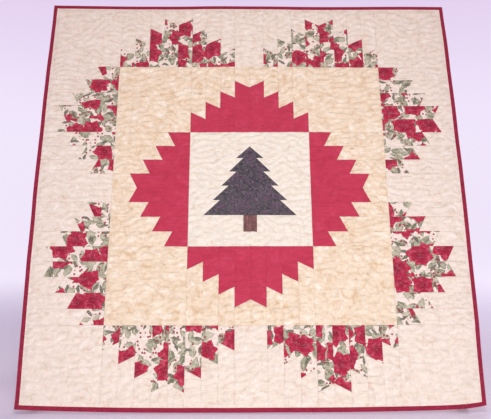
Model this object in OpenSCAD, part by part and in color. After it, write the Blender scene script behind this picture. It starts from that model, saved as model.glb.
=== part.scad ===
// Square pieced wall quilt hung by a sleeve and rod on a folding wooden A-frame rack.
// The origin is on the floor under the middle of the whole object. The quilt faces -Y.

/* [Quilt] */
// Finished width of one pieced strip, the unit of the whole quilt pattern
strip_w = 38.1; // [36:0.1:39]
// Side of the centre block, in strips
block_n = 8; // [8:8]
// Depth of the field outside the centre block, in strips
field_n = 5; // [5:8]
// Depth of the border outside the field, in strips
border_n = 5; // [5:5]
// Seam left between neighbouring strips
seam = 0.3; // [0.2:0.1:0.8]
// Thickness of the pieced cotton top
top_t = 0.8; // [0.4:0.1:1.5]
// Thickness of the batting
batting_t = 4; // [2:0.5:6]
// Thickness of the cotton backing
backing_t = 0.6; // [0.4:0.1:1.5]
// Thickness of the tree and trunk sewn on the centre block
applique_t = 0.5; // [0.3:0.1:1.5]
// Visible width of the binding
binding_w = 10; // [6:1:14]
// Cloth thickness of the binding
binding_t = 0.8; // [0.4:0.1:1.5]

/* [Saw edges] */
// Height of the outermost point of a saw edge, in strips
saw_first = 1.5; // [1:0.1:1.7]
// Rise from one point of a saw edge to the next, in strips
saw_step = 0.8; // [0.4:0.1:1]
// Drop from the outer to the inner side of each strip end, in strips
saw_drop = 0.5; // [0.2:0.1:0.9]

/* [Tree] */
// Height of the tree's tip above the block's centre, in strips
tree_top = 2.95; // [2.2:0.05:3.6]
// Height of each tier's lower edge above the block's centre, in strips
tier_edges = [2.1, 1.13, 0.13, -0.88, -1.91];
// Half width of each tier at its lower edge, in strips
tier_tips = [0.91, 1.37, 1.88, 2.43, 3.02];
// Half width of the neck under each tier but the last, in strips
tier_necks = [0.44, 0.89, 1.4, 1.97];
// Half width of the trunk, in strips
trunk_half = 0.44; // [0.2:0.02:0.7]
// Height of the trunk's foot above the block's centre, in strips
trunk_foot = -3.04; // [-3.7:0.02:-2.4]

/* [Hanging sleeve and rod] */
// Diameter of the wooden rod
rod_d = 19; // [16:1:22]
// Length of the rod past the outer face of each stile
rod_end = 12; // [6:1:20]
// Height of the sleeve sewn to the back of the quilt
sleeve_h = 75; // [60:1:90]
// Distance from the top edge of the quilt to the sleeve's upper seam
sleeve_drop = 13; // [8:1:20]
// Distance from the top edge of the quilt down to the rod's axis
rod_drop = 32; // [28:1:40]
// Gap between each end of the sleeve and the stile beside it
sleeve_gap = 10; // [4:1:30]

/* [Front frame] */
// Lean of the front frame from upright, in degrees
front_lean = 20; // [16:1:22]
// Distance between the inner faces of the stiles
frame_w = 960; // [900:10:980]
// Width of a stile, side to side
stile_w = 20; // [18:1:24]
// Depth of a stile, front to back
stile_d = 42; // [40:1:48]
// Thickness of the middle and bottom rails
rail_t = 14; // [10:1:15]
// Height of the middle and bottom rails
rail_h = 45; // [35:1:60]
// Height of the top rail
top_rail_h = 36; // [25:1:38]
// Distance from the floor end of the stile to the middle rail, along the stile
middle_rail_at = 520; // [400:10:620]
// Distance from the floor end of the stile to the bottom rail, along the stile
bottom_rail_at = 110; // [60:10:200]
// Distance from the floor end of the stile to the pivot, along the stile
pivot_at = 930; // [900:1:932]
// Gap between the front frame's front face and the back of the quilt
quilt_gap = 0.3; // [0.2:0.1:2]
// Distance from the floor end of the stile to the quilt's lower edge, along the stile
quilt_at = 9; // [8:1:30]

/* [Rear frame] */
// Lean of the rear legs from upright, in degrees
rear_lean = 13; // [10:1:15]
// Width of a rear leg, side to side
leg_w = 20; // [18:1:24]
// Depth of a rear leg, front to back
leg_d = 24; // [20:1:24]
// Distance of the upper rear rail below the pivot, along the leg
upper_rail_below = 300; // [200:10:400]
// Distance of the lower rear rail below the pivot, along the leg
lower_rail_below = 700; // [500:10:800]
// Thickness of a rear rail
rear_rail_t = 16; // [12:1:18]
// Height of a rear rail
rear_rail_h = 40; // [30:1:50]

/* [Hardware] */
// Diameter of the pivot bolts
bolt_d = 8; // [8:8]
// Radial clearance of a rear leg's bore on its pivot bolt
bolt_fit = 0.05; // [0.03:0.01:0.1]
// Gap between a stile and the rear leg beside it
pivot_gap = 2; // [1.6:0.1:4]
// Thickness of a pivot washer
washer_t = 1.4; // [1:0.1:1.4]
// Diameter of a pivot washer
washer_d = 20; // [16:1:22]
// Shank diameter of the rail screws
screw_d = 4; // [3:0.5:5]
// Length of the rail screws
screw_l = 60; // [40:5:70]
// Thickness of the rubber feet
foot_t = 4; // [3:1:8]
// Length cut off the front of each stile where it meets its foot
toe_cut = 26; // [10:1:28]

/* [Hidden] */
SIDES = ["top", "right", "bottom", "left"];
CORNERS = ["upper_right", "lower_right", "lower_left", "upper_left"];
HANDS = ["left", "right"];

$fn = 48;
// How far a cutting or joining shape runs past the face that it meets
lap = 1;

// Pattern of the quilt top, in millimetres from its centre
block_half = strip_w * block_n / 2;
field_half = block_half + strip_w * field_n;
quilt_half = field_half + strip_w * border_n;
cloth_half = quilt_half - binding_t;
border_depth = cloth_half - field_half;
mid_patch_half = field_half - strip_w * block_n;

// Heights of the quilt's layers in front of the front frame
backing_z = quilt_gap + binding_t;
batting_z = backing_z + backing_t;
top_z = batting_z + batting_t;
face_z = top_z + top_t;
quilt_t = face_z + binding_t;

// Hanging rod and sleeve, in the front frame's own plane
quilt_mid = quilt_at + quilt_half;
quilt_top = quilt_at + 2 * quilt_half;
rod_r = rod_d / 2;
// Clearance of the rod in its notch, wood left in front of the notch, and how far that lip stands
// below the rod's axis
notch_gap = 0.3;
lip_t = 8;
lip_below = 4;
rod_y = lip_t + notch_gap + rod_r;
rod_z = quilt_top - rod_drop;
rod_chamfer = 1.5;
rod_l = frame_w + 2 * (stile_w + rod_end);
// Cloth thickness of the sleeve, its slack round the rod, and the steps of the curve round the rod
sleeve_t = 0.8;
sleeve_slack = 1.2;
sleeve_r = rod_r + sleeve_slack + sleeve_t;
sleeve_top = quilt_top - sleeve_drop;
sleeve_low = sleeve_top - sleeve_h;
sleeve_l = frame_w - 2 * sleeve_gap;
sleeve_steps = 24;

// Front frame: the stiles rise stile_top_above over the rod's axis, and edges are rounded to edge_r
stile_x = (frame_w + stile_w) / 2;
stile_top_above = 16;
stile_crown = 8;
edge_r = 2.5;
// Length of the rails' tenons, the shoulder round them, and their clearance in the mortises
tenon_l = 8;
tenon_edge = 3;
tenon_gap = 0.1;
// Gap between the heels of the open rear legs and the underside of the top rail
heel_gap = 0.2;
top_rail_y = 14;
top_rail_d = 28;
top_rail_z = pivot_at + leg_d / 2 + heel_gap;
pivot_y = 28;

// Rear frame
leg_x = frame_w / 2 - pivot_gap - leg_w / 2;
rear_w = 2 * leg_x - leg_w;
open_angle = front_lean + rear_lean;

// Pivot bolt, with a domed head, and its cap nut; the shank ends short of the nut's outer face
bolt_r = bolt_d / 2;
head_d = 16;
head_h = 4.5;
head_dome = 0.6;
bolt_chamfer = 1;
nut_h = 5;
nut_d = 14;
cap_h = 3;
cap_step = 1.5;
shank_l = stile_w + leg_w + 2 * pivot_gap + nut_h - bolt_chamfer;

// Countersunk rail screw: its head's radius is the shank's diameter, with a thin straight rim
screw_r = screw_d / 2;
screw_rim = 0.6;
screw_recess = 0.3;
screw_gap = 0.1;

// The feet are set in from the faces of the wood above them
foot_inset = 1;

// The pivot on the upright section of the object, before it is centred front to back
pivot_side = pivot_y * cos(front_lean) + pivot_at * sin(front_lean);
pivot_up = pivot_at * cos(front_lean) - pivot_y * sin(front_lean);

// Where the two frames meet the top of the rubber feet, and the length of the feet
toe_y = foot_t * tan(front_lean) + toe_cut;
front_foot_y = toe_y + (stile_d / cos(front_lean) - toe_cut) / 2;
rear_foot_y = pivot_side + (pivot_up - foot_t) * tan(rear_lean);
front_foot_d = stile_d / cos(front_lean) - toe_cut - 2 * foot_inset;
rear_foot_d = leg_d / cos(rear_lean) - 2 * foot_inset;

// The whole object runs from the quilt's lower front edge to the back of the rear legs
front_most = quilt_at * sin(front_lean) - quilt_t * cos(front_lean);
rear_most = rear_foot_y + leg_d / cos(rear_lean) / 2;
centre_y = (front_most + rear_most) / 2;

// Height of a saw edge on the outer side of strip i of 8, and on its inner side
function saw_peak(i) = strip_w * (saw_first + saw_step * min(i, block_n - 1 - i));
function saw_low(i) = saw_peak(i) - strip_w * saw_drop;
function saw_left(i) = i < block_n / 2 ? saw_peak(i) : saw_low(i);
function saw_right(i) = i < block_n / 2 ? saw_low(i) : saw_peak(i);

// Half of the tree's outline from its tip down to the trunk, on the side given by hand
function tree_edge(hand) = [
    for (i = [0 : len(tier_edges) - 1])
        each [
            [hand * strip_w * tier_tips[i], strip_w * tier_edges[i]],
            if (i < len(tier_necks)) [hand * strip_w * tier_necks[i], strip_w * tier_edges[i]]
        ]
];
function reversed(list) = [for (i = [len(list) - 1 : -1 : 0]) list[i]];

// Angle, seen from the rod, where cloth pulled straight from the quilt's back meets a circle of
// radius r round the rod; z is the seam's height above the rod, and side is 1 above it, -1 below
function tangent_angle(r, z, side) =
    let (y = -backing_z - rod_y) atan2(z, y) - side * acos(r / norm([y, z]));

// The sleeve's curve behind the quilt, as [back, up] points: seam, round the rod, seam
function sleeve_curve(r, top, low) =
    let (a = tangent_angle(r, top - rod_z, 1), b = tangent_angle(r, low - rod_z, -1))
        concat(
            [[-backing_z, top]],
            [for (i = [0 : sleeve_steps])
                let (turn = a + (b - a) * i / sleeve_steps)
                    [rod_y + r * cos(turn), rod_z + r * sin(turn)]],
            [[-backing_z, low]]
        );

// Puts a shape drawn upright, with the frame's front face at y = 0, at the front frame's lean
module leaned() translate([0, -centre_y, 0]) rotate([-front_lean, 0, 0]) children();

// Puts a shape drawn around the pivot at the rear frame's lean
module rear_leaned() translate([0, pivot_side - centre_y, pivot_up]) rotate([rear_lean, 0, 0]) children();

// Puts a flat pattern drawn around the quilt's centre, face up, in its place at height z of the layers
module on_quilt(z) leaned() translate([0, -z, quilt_mid]) rotate([90, 0, 0]) children();

// Turns a pattern drawn above the quilt's centre to one of its sides: 0 top, 1 right, 2 bottom, 3 left
module on_side(side) rotate([0, 0, -90 * side]) children();

module patch() linear_extrude(top_t) children();

module square_patch(x, y, w, h) patch() translate([x, y]) square([w, h]);

// Rectangle w by d about x = 0, from y = 0, with its long edges rounded to r
module eased_rect(w, d, r) {
    translate([r - w / 2, 0]) square([w - 2 * r, d]);
    translate([-w / 2, r]) square([w, d - 2 * r]);
    for (x = [r - w / 2, w / 2 - r], y = [r, d - r]) translate([x, y]) circle(r);
}

// Strip pieces from the base line up to the saw edge
module inner_strips() {
    for (i = [0 : block_n - 1]) {
        x = strip_w * i;
        patch() polygon([
            [x, 0], [x + strip_w - seam, 0], [x + strip_w - seam, saw_right(i)], [x, saw_left(i)]
        ]);
    }
}

// Strip pieces from the saw edge out to the given depth
module outer_strips(depth) {
    for (i = [0 : block_n - 1]) {
        x = strip_w * i;
        patch() polygon([
            [x, saw_left(i)], [x + strip_w - seam, saw_right(i)], [x + strip_w - seam, depth], [x, depth]
        ]);
    }
}

module tree() color("#4e4a55")
    on_quilt(face_z) linear_extrude(applique_t)
        polygon(concat([[0, strip_w * tree_top]], tree_edge(1), reversed(tree_edge(-1))));

module trunk() color("#8a5148")
    on_quilt(face_z) linear_extrude(applique_t)
        translate([-strip_w * trunk_half, strip_w * trunk_foot])
            square(strip_w * [2 * trunk_half, tier_edges[len(tier_edges) - 1] - trunk_foot]);

module centre_ground() color("#faeedc")
    on_quilt(top_z) square_patch(-block_half, -block_half, 2 * block_half, 2 * block_half);

module red_strips(side) color("#c02a45")
    on_quilt(top_z) on_side(side) translate([-block_half, block_half, 0]) inner_strips();

module field_strips(side) color("#ebd2a8")
    on_quilt(top_z) on_side(side) translate([-block_half, block_half, 0])
        outer_strips(strip_w * field_n);

module field_corner(side) color("#ebd2a8")
    on_quilt(top_z) on_side(side)
        square_patch(block_half, block_half, strip_w * field_n, strip_w * field_n);

// The two fans of a side stand left and right of its plain middle patch
module floral_fan(side, x) color("#b9665c")
    on_quilt(top_z) on_side(side) translate([x, field_half, 0]) inner_strips();

module border_strips(side) color("#f3e0cf")
    on_quilt(top_z) on_side(side) {
        for (x = [-field_half, mid_patch_half]) translate([x, field_half, 0]) outer_strips(border_depth);
        square_patch(-mid_patch_half, field_half, 2 * mid_patch_half - seam, border_depth);
    }

module border_corner(side) color("#f3e0cf")
    on_quilt(top_z) on_side(side) square_patch(field_half, field_half, border_depth, border_depth);

// A folded strip round one raw edge, mitred at both ends
module binding(side) color("#a81d3c")
    on_quilt(quilt_gap) on_side(side) difference() {
        linear_extrude(quilt_t - quilt_gap)
            polygon([
                [-quilt_half, quilt_half], [quilt_half, quilt_half],
                [quilt_half - binding_w, quilt_half - binding_w],
                [binding_w - quilt_half, quilt_half - binding_w]
            ]);
        translate([-cloth_half, 0, binding_t]) cube([2 * cloth_half, cloth_half, face_z - backing_z]);
    }

module cloth_slab(z, t) on_quilt(z) translate([-cloth_half, -cloth_half, 0])
    cube([2 * cloth_half, 2 * cloth_half, t]);

module batting() color("#f7f3ea") cloth_slab(batting_z, batting_t);

module backing() color("#e9dcc4") cloth_slab(backing_z, backing_t);

// Flat cloth tube along the quilt's upper edge, sewn to the backing at its upper and lower seams
module hanging_sleeve() color("#e4d5ba")
    leaned() translate([-sleeve_l / 2, 0, 0]) rotate([90, 0, 90]) linear_extrude(sleeve_l)
        difference() {
            polygon(sleeve_curve(sleeve_r, sleeve_top, sleeve_low));
            polygon(sleeve_curve(sleeve_r - sleeve_t, sleeve_top - sleeve_t, sleeve_low + sleeve_t));
        }

module hanging_rod() color("#c79a5f")
    leaned() translate([-rod_l / 2, rod_y, rod_z]) rotate([0, 90, 0]) rotate_extrude()
        polygon([
            [0, 0], [rod_r - rod_chamfer, 0], [rod_r, rod_chamfer],
            [rod_r, rod_l - rod_chamfer], [rod_r - rod_chamfer, rod_l], [0, rod_l]
        ]);

// Side outline of a stile: a crowned top with an open notch that takes the rod from above
module stile_outline() {
    stile_top = rod_z + stile_top_above;
    difference() {
        union() {
            translate([0, -stile_d]) square([stile_d, stile_top - stile_crown + stile_d]);
            square([stile_d - stile_crown, stile_top]);
            translate([stile_d - stile_crown, stile_top - stile_crown]) circle(stile_crown);
        }
        translate([rod_y, rod_z]) circle(rod_r + notch_gap);
        translate([-lap, rod_z - lip_below]) square([rod_y + lap, stile_top]);
        translate([rod_y - lap, rod_z]) square([rod_r + notch_gap + lap, stile_top]);
    }
}

// Mortise or tenon at the end of a rail that lies from x = 0, given the rail's depth and height
module tenon(d, h, grow) translate([-tenon_l - grow, tenon_edge - grow, tenon_edge - grow])
    cube([tenon_l + 2 * grow, d - 2 * (tenon_edge - grow), h - 2 * (tenon_edge - grow)]);

// The three front rails as [y, z, depth, height]
front_rails = [
    [top_rail_y, top_rail_z, top_rail_d, top_rail_h],
    [0, middle_rail_at, rail_t, rail_h],
    [0, bottom_rail_at, rail_t, rail_h]
];

// The two rear rails as [y, z, depth, height], measured from the pivot
rear_rails = [
    [-rear_rail_t / 2, -upper_rail_below, rear_rail_t, rear_rail_h],
    [-rear_rail_t / 2, -lower_rail_below, rear_rail_t, rear_rail_h]
];

// Both ends of a rail between two uprights a distance w apart
module both_ends(w) for (m = [0, 1]) mirror([m, 0, 0]) translate([w / 2, 0, 0]) rotate([0, 0, 180])
    mirror([0, 1, 0]) children();

module rail_body(w, rail) translate([0, rail[0], rail[1]]) difference() {
    union() {
        translate([-w / 2, 0, 0]) rotate([90, 0, 90]) linear_extrude(w)
            translate([rail[2] / 2, 0]) eased_rect(rail[2], rail[3], edge_r);
        both_ends(w) tenon(rail[2], rail[3], 0);
    }
    both_ends(w) translate([-tenon_l, rail[2] / 2, rail[3] / 2]) rotate([0, 90, 0])
        cylinder(h = screw_l, r = screw_r);
}

module front_rail(i) color("#c9a06a") leaned() rail_body(frame_w, front_rails[i]);

module rear_rail(i) color("#c9a06a") rear_leaned() rail_body(rear_w, rear_rails[i]);

// Screw from the outer face of an upright of width w into the end of a rail, drawn at the rail's end
module rail_screw(w) translate([-w, 0, 0]) rotate([0, 90, 0]) rotate_extrude() polygon([
    [0, screw_recess], [screw_d - screw_recess, screw_recess], [screw_d, screw_rim],
    [screw_r, screw_rim + screw_r], [screw_r, screw_l - screw_d], [0, screw_l]
]);

// The countersunk hole that the screw passes through in the upright
module screw_hole(w) translate([-w, 0, 0]) rotate([0, 90, 0]) rotate_extrude() polygon([
    [0, -lap], [screw_d + screw_gap, -lap], [screw_d + screw_gap, screw_rim],
    [screw_r + screw_gap, screw_rim + screw_r + screw_gap], [screw_r + screw_gap, w], [0, w]
]);

// The holes and mortises that the rails need in the two uprights
module rail_joints(w, upright_w, rails) {
    for (rail = rails) translate([0, rail[0], rail[1]]) both_ends(w) {
        tenon(rail[2], rail[3], tenon_gap);
        translate([0, rail[2] / 2, rail[3] / 2]) screw_hole(upright_w);
    }
}

module rail_screws(w, upright_w, rails) {
    for (rail = rails) translate([0, rail[0] + rail[2] / 2, rail[1] + rail[3] / 2])
        both_ends(w) rail_screw(upright_w);
}

module front_rail_screws() color("#b9a67e") leaned() rail_screws(frame_w, stile_w, front_rails);

module rear_rail_screws() color("#b9a67e") rear_leaned() rail_screws(rear_w, leg_w, rear_rails);

module below_feet() translate([-frame_w, -frame_w, foot_t - frame_w])
    cube([2 * frame_w, 2 * frame_w, frame_w]);

// The sloping cut that keeps the foot of a stile back from the quilt's lower edge
module toe() translate([-frame_w, toe_y - centre_y, 0]) rotate([90, 0, 90])
    linear_extrude(2 * frame_w)
        polygon([[0, 0], [0, foot_t], [-stile_d, foot_t + stile_d], [-stile_d, 0]]);

module front_stile(hand) color("#c9a06a") difference() {
    leaned() difference() {
        intersection() {
            translate([hand * stile_x - stile_w / 2, 0, 0]) rotate([90, 0, 90])
                linear_extrude(stile_w) stile_outline();
            translate([hand * stile_x, 0, -stile_d]) linear_extrude(quilt_top + stile_d)
                eased_rect(stile_w, stile_d, edge_r);
        }
        rail_joints(frame_w, stile_w, front_rails);
        translate([0, pivot_y, pivot_at]) rotate([0, 90, 0])
            cylinder(h = 2 * frame_w, r = bolt_r + bolt_fit, center = true);
    }
    below_feet();
    toe();
}

// Side outline of a rear leg: a round head whose flat heel stops against the top rail
module leg_outline() {
    r = leg_d / 2;
    circle(r);
    translate([-r, -pivot_up - leg_d]) square([leg_d, pivot_up + leg_d]);
    polygon([
        [0, -lap], [r, -lap], [r, (r - r * sin(open_angle)) / cos(open_angle)],
        [r * sin(open_angle), r * cos(open_angle)]
    ]);
}

module rear_leg(hand) color("#c9a06a") difference() {
    rear_leaned() difference() {
        intersection() {
            translate([hand * leg_x - leg_w / 2, 0, 0]) rotate([90, 0, 90])
                linear_extrude(leg_w) leg_outline();
            translate([hand * leg_x, -leg_d / 2, -pivot_at - leg_d]) linear_extrude(pivot_at + 2 * leg_d)
                eased_rect(leg_w, leg_d, edge_r);
        }
        rail_joints(rear_w, leg_w, rear_rails);
        rotate([0, 90, 0]) cylinder(h = 2 * frame_w, r = bolt_r + bolt_fit, center = true);
    }
    below_feet();
}

module foot(x, y, w, d) translate([x, y - centre_y, 0]) linear_extrude(foot_t)
    translate([0, -d / 2]) eased_rect(w - 2 * foot_inset, d, edge_r);

module front_feet() color("#2e2a28")
    for (hand = [-1, 1]) foot(hand * stile_x, front_foot_y, stile_w, front_foot_d);

module rear_feet() color("#2e2a28")
    for (hand = [-1, 1]) foot(hand * leg_x, rear_foot_y, leg_w, rear_foot_d);

// Draws a pivot piece on both sides, with x measured inwards from the stile's outer face
module at_pivots() leaned() translate([0, pivot_y, pivot_at]) for (m = [0, 1]) mirror([m, 0, 0])
    translate([frame_w / 2 + stile_w, 0, 0]) rotate([0, -90, 0]) children();

module pivot_bolts() color("#b9a67e") at_pivots() rotate_extrude() polygon([
    [0, -head_h], [head_d / 4, head_dome - head_h], [head_d / 2 - bolt_chamfer, -head_h / 2],
    [head_d / 2, 0],
    [bolt_r, 0], [bolt_r, shank_l - bolt_chamfer], [bolt_r - bolt_chamfer, shank_l], [0, shank_l]
]);

module washer(z) translate([0, 0, z]) difference() {
    cylinder(h = washer_t, r = washer_d / 2);
    translate([0, 0, -lap]) cylinder(h = washer_t + 2 * lap, r = bolt_r + bolt_fit);
}

module pivot_washers() color("#b9a67e") at_pivots() {
    washer(stile_w);
    washer(stile_w + 2 * pivot_gap + leg_w - washer_t);
}

module pivot_nuts() color("#b9a67e") at_pivots() translate([0, 0, stile_w + 2 * pivot_gap + leg_w])
    difference() {
        union() {
            cylinder(h = nut_h, r = nut_d / 2, $fn = 6);
            translate([0, 0, nut_h]) cylinder(h = cap_h, r1 = nut_d / 2 - cap_step, r2 = nut_d / 4);
        }
        translate([0, 0, -lap]) cylinder(h = nut_h + lap, r = bolt_r + bolt_fit);
    }

tree();
trunk();
centre_ground();
for (i = [0 : 3]) {
    red_strips(i);
    field_strips(i);
    field_corner(i);
    floral_fan(i, -field_half);
    floral_fan(i, mid_patch_half);
    border_strips(i);
    border_corner(i);
    binding(i);
}
batting();
backing();
hanging_sleeve();
hanging_rod();
for (i = [0 : 1]) {
    front_stile(2 * i - 1);
    rear_leg(2 * i - 1);
}
front_rail(0);  // top_rail
front_rail(1);  // middle_rail
front_rail(2);  // bottom_rail
front_rail_screws();
front_feet();
rear_rail(0);  // rear_upper_rail
rear_rail(1);  // rear_lower_rail
rear_rail_screws();
rear_feet();
pivot_bolts();
pivot_washers();
pivot_nuts();
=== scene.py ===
"""Looks for a pieced wall quilt that hangs by its sleeve and rod on a folding wooden rack.

Lengths are millimetres until a mesh is made, which turns them into metres. A point of the quilt is
(u, v, n): u to the right and v up from the quilt's centre along its slope, and n out of its face.
"""

import math

import bmesh
import bpy
import numpy as np
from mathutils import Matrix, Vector


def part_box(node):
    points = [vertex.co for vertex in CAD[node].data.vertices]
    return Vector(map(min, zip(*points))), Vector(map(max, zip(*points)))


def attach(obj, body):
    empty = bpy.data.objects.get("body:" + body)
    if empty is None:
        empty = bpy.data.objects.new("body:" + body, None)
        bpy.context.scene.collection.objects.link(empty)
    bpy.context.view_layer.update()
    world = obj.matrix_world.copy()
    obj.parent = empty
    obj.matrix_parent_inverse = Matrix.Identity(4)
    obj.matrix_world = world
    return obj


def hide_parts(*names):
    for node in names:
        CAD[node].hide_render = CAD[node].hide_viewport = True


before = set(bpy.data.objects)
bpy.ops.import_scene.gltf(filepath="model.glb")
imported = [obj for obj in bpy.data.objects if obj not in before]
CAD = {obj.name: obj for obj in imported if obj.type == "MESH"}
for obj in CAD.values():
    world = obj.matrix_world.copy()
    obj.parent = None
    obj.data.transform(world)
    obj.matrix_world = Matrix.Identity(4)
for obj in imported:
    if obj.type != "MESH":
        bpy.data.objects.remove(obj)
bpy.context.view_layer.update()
MM = 0.001

# ---------------------------------------------------------------- places taken from the frame
LEAN = math.radians(20)
RIGHT = np.array([1.0, 0.0, 0.0])
UP = np.array([0.0, math.sin(LEAN), math.cos(LEAN)])
OUT = np.array([0.0, -math.cos(LEAN), math.sin(LEAN)])
# from the front frame's face, where n is 0, to the middle of the batting
BATTING_MIDDLE = 3.7
batting_low, batting_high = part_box("batting")
CENTRE = np.array((batting_low + batting_high) / 2) / MM - OUT * BATTING_MIDDLE
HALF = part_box("binding_bottom")[1].x / MM
# 4 strips of centre block, 5 of field and 5 of border from the centre to the edge
STRIP = HALF / 14
BLOCK = 4 * STRIP
FIELD = 9 * STRIP
# the raw edge of the cloth, just inside the binding's fold
CLOTH = HALF - 0.8
MID_PATCH = STRIP
SEAM = 0.02
BACKING = 0.6
PATCH = 0.75
BINDING_W = 10.0
# height of the quilt's back above the front frame where no wave lifts it, before quilting
REST = 1.1
# stitch distance of a point that no quilting line is near
FAR = 9.0
rod_low, rod_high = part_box("hanging_rod")
ROD = np.array((rod_low + rod_high) / 2) / MM - CENTRE
ROD_V, ROD_N = float(ROD @ UP), float(ROD @ OUT)

SIDES = ["top", "right", "bottom", "left"]
CORNERS = ["upper_right", "lower_right", "lower_left", "upper_left"]


# ---------------------------------------------------------------- camera
def quilt_point(u, v, n):
    return Vector((CENTRE + RIGHT * u + UP * v + OUT * n) * MM)


# places on the quilt, as (u, v, n)
CAMERA_AT, CAMERA_AIM = (-28.7, -622.4, 1645.3), (-11.3, -57.3, 6)
LENS, SENSOR = 51.3, 36

camera_data = bpy.data.cameras.new("camera")
camera_data.lens, camera_data.sensor_width = LENS, SENSOR
camera_data.clip_start, camera_data.clip_end = 0.05, 50
camera = bpy.data.objects.new("camera", camera_data)
bpy.context.scene.collection.objects.link(camera)
camera.location = quilt_point(*CAMERA_AT)
aim = quilt_point(*CAMERA_AIM) - camera.location
camera.rotation_mode = "QUATERNION"
camera.rotation_quaternion = aim.to_track_quat("-Z", "Y")
bpy.context.scene.camera = camera


# ---------------------------------------------------------------- how the quilt's cloth lies
def plane_waves(seed, count, short, long, heading, spread):
    """Wave vectors and phases of random waves. heading is their main direction, in degrees."""
    draw = np.random.RandomState(seed)
    length = draw.uniform(short, long, count)
    angle = np.radians(heading + spread * draw.standard_normal(count))
    k = 2 * math.pi / length[:, None] * np.stack([np.cos(angle), np.sin(angle)], 1)
    return k, draw.uniform(0, 2 * math.pi, count)


QUILTING = plane_waves(11, 44, 27, 40, 90, 33)
SWAY = plane_waves(5, 9, 260, 620, 90, 60)
RIPPLE = plane_waves(8, 14, 90, 170, 90, 35)
FLARE = plane_waves(3, 5, 150, 260, 0, 8)
CREASES = plane_waves(21, 26, 12, 24, 90, 22)


def add_waves(waves, u, v, slope=False):
    """The sum of the waves at each point, and with slope its two slopes as well."""
    k, phase = waves
    scale = math.sqrt(2 / len(phase))
    height, du, dv = np.zeros_like(u), np.zeros_like(u), np.zeros_like(u)
    for (ku, kv), p in zip(k, phase):
        at = ku * u + kv * v + p
        height += np.cos(at)
        if slope:
            turn = -np.sin(at)
            du += ku * turn
            dv += kv * turn
    return (height * scale, du * scale, dv * scale) if slope else height * scale


def stitch_distance(u, v):
    """Signed distance from the wandering line of quilting stitches."""
    height, du, dv = add_waves(QUILTING, u, v, slope=True)
    return np.clip(height / (np.hypot(du, dv) + 0.02), -FAR, FAR)


def distance_to_outline(u, v, outline):
    """Distance from each point to the closed outline."""
    best = np.full(u.shape, 1e9)
    corners = np.array(outline, float)
    for (ax, ay), (bx, by) in zip(corners, np.roll(corners, -1, 0)):
        dx, dy = bx - ax, by - ay
        t = np.clip(((u - ax) * dx + (v - ay) * dy) / (dx * dx + dy * dy), 0, 1)
        best = np.minimum(best, np.hypot(u - ax - t * dx, v - ay - t * dy))
    return best


def outside(u, v, outline):
    """Distance from the outline, below zero on its inner side."""
    inside = np.zeros(u.shape, bool)
    corners = np.array(outline, float)
    for (ax, ay), (bx, by) in zip(corners, np.roll(corners, -1, 0)):
        if ay != by:
            crosses = (ay > v) != (by > v)
            inside ^= crosses & (u < ax + (v - ay) * (bx - ax) / (by - ay))
    apart = distance_to_outline(u, v, outline)
    return np.where(inside, -apart, apart)


# The tree's outline, in strips, and its trunk's half width and foot
TIERS = [2.1, 1.13, 0.13, -0.88, -1.91]
TIPS = [0.91, 1.37, 1.88, 2.43, 3.02]
NECKS = [0.44, 0.89, 1.4, 1.97]
TREE_TOP, TRUNK_HALF, TRUNK_FOOT = 2.95, 0.44, -3.04
half_tree = []
for i, tier in enumerate(TIERS):
    half_tree.append((TIPS[i] * STRIP, tier * STRIP))
    if i < len(NECKS):
        half_tree.append((NECKS[i] * STRIP, tier * STRIP))
TREE_OUTLINE = [(0.0, TREE_TOP * STRIP)] + [(-x, y) for x, y in half_tree] + half_tree[::-1]

# distance from a stitch line to the top of the pillow, and the flat margin round the tree
PILLOW, TREE_MARGIN = 7.5, 7
# how far in from the binding the quilt is pressed flat
RIM = 14


def pillow(u, v):
    """0 on a stitch line, 1 half way between two lines. The tree's own area stays flat."""
    t = np.clip(np.abs(stitch_distance(u, v)) / PILLOW, 0, 1)
    puffed = 0.4 * (1 - (1 - t) ** 2) + 0.6 * t * t * (3 - 2 * t)
    near = np.maximum(np.abs(u), np.abs(v)) < BLOCK
    clear = np.ones_like(u)
    clear[near] = np.clip(outside(u[near], v[near], TREE_OUTLINE) / TREE_MARGIN, 0, 1)
    return puffed * clear


def rim(u, v):
    """0 under the binding, 1 from RIM inside it."""
    t = np.clip((HALF - BINDING_W - 0.5 - np.maximum(np.abs(u), np.abs(v))) / RIM, 0, 1)
    return t * t * (3 - 2 * t)


def lie(u, v):
    """Height of the quilt's back above the front frame: slow waves of hanging cloth."""
    slow = 1.5 + 1.2 * np.tanh(add_waves(SWAY, u, v)) + 0.4 * np.tanh(add_waves(RIPPLE, u, v))
    far = np.clip(np.maximum(np.abs(u), -v) / HALF, 0, 1)
    flare = 1.6 * far**8 * (1 + np.tanh(add_waves(FLARE, u + v, u - v)))
    return REST + np.maximum(slow, 0) + flare


# the pressed batting, its rise inside the rim, and the least height of a patch over it
PRESSED, RIM_RISE, LEAST_PUFF = 2.2, 0.9, 0.6
# how flat a seam lies, how far from it that is felt, and how deep washing creases the pillows
SEAM_PRESS, SEAM_REACH, WASHED = 0.55, 2.6, 0.2


def loft(u, v, edge, puff):
    """Underside of the patches: batting pressed flat along seams, pillowed between stitches."""
    inner = rim(u, v)
    ease = 1 - SEAM_PRESS * np.exp(-edge / SEAM_REACH)
    washed = 1 + WASHED * np.tanh(add_waves(CREASES, u, v))
    raised = LEAST_PUFF + puff * washed * pillow(u, v)
    return lie(u, v) + BACKING + PRESSED + RIM_RISE * inner + raised * ease * inner


def face(u, v, edge, puff):
    return loft(u, v, edge, puff) + PATCH


SIDE_BOW, TOP_BOW, BOTTOM_BOW = 6.0, 1.0, 8.0
CORNER_LIFT = 6.5


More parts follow.
